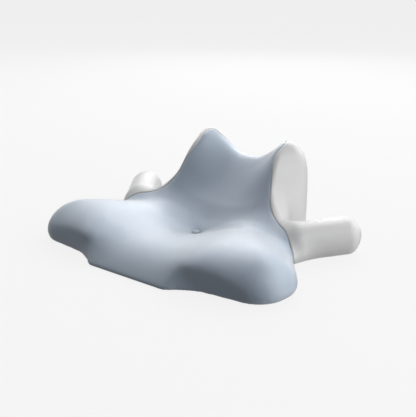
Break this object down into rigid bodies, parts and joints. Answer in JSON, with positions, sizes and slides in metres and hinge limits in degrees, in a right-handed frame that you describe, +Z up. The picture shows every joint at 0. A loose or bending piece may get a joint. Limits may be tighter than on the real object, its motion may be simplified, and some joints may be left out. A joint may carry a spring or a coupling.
{
  "type": "foam floor seat with low backrest",
  "caption": "Moulded memory foam floor seat: dished seat with broad thigh lobes, low concave backrest rising to a horn at each side, and short rounded rear arms.",
  "frame": {"origin": "on the floor, in the middle of the outline seen from above", "axes": "+Z up, +Y from the front lip towards the backrest, +X towards the right of someone who looks at the front along +Y"},
  "size_m": [0.7434, 0.5634, 0.2411],
  "materials": {
    "front_cover": "smooth blue-grey stretch knit",
    "rear_cover": "smooth off-white stretch knit",
    "button_cover": "blue-grey knit drawn over a domed shell"
  },
  "bodies": {
    "root": {"front_panel": "front_cover", "rear_panel": "rear_cover", "tuft_button": "button_cover"}
  },
  "joints": []
}
